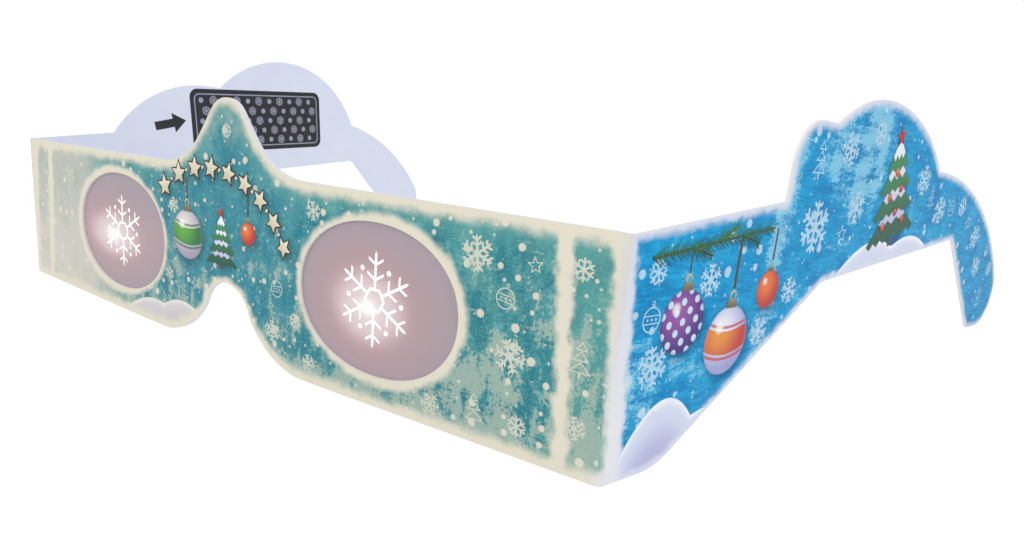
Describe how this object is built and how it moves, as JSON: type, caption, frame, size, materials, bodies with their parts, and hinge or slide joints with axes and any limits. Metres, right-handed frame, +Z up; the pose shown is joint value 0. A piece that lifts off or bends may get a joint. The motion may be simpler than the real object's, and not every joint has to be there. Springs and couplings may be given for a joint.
{
  "type": "stereoscopic glasses",
  "caption": "Folded card viewing glasses: a printed front with film lenses between two cards, and two hooked arms that swing on creased folds.",
  "frame": {"origin": "on the outer face of the front card, on its centre line, level with the straight part of its top edge", "axes": "+X to the wearer's left, +Y from the front back towards the wearer's ears, +Z up"},
  "size_m": [0.193, 0.1383, 0.059],
  "materials": {
    "printed_card": "satin printed card, teal with a cream border",
    "backing_card": "smooth pale uncoated card",
    "glue": "dry clear-white glue film",
    "lens_film": "translucent mauve film, faintly glossy",
    "crease": "unprinted creased card",
    "arm_card": "satin printed card, blue outside and pale lavender inside"
  },
  "bodies": {
    "front": {"front_card": "printed_card", "back_card": "backing_card", "glue_layer": "glue", "left_lens_film": "lens_film", "right_lens_film": "lens_film", "left_fold": "crease", "right_fold": "crease"},
    "left_arm": {"left_arm": "arm_card"},
    "right_arm": {"right_arm": "arm_card"}
  },
  "joints": [
    {"name": "left_arm_fold", "type": "hinge", "parent": "front", "child": "left_arm", "pos_m": [0.0722, 0.0008, -0.0155], "axis": [0, 0, 1], "range_deg": [-70, 110], "deforming": ["left_fold"]},
    {"name": "right_arm_fold", "type": "hinge", "parent": "front", "child": "right_arm", "pos_m": [-0.0722, 0.0008, -0.0155], "axis": [0, 0, -1], "range_deg": [-90, 82], "deforming": ["right_fold"]}
  ]
}
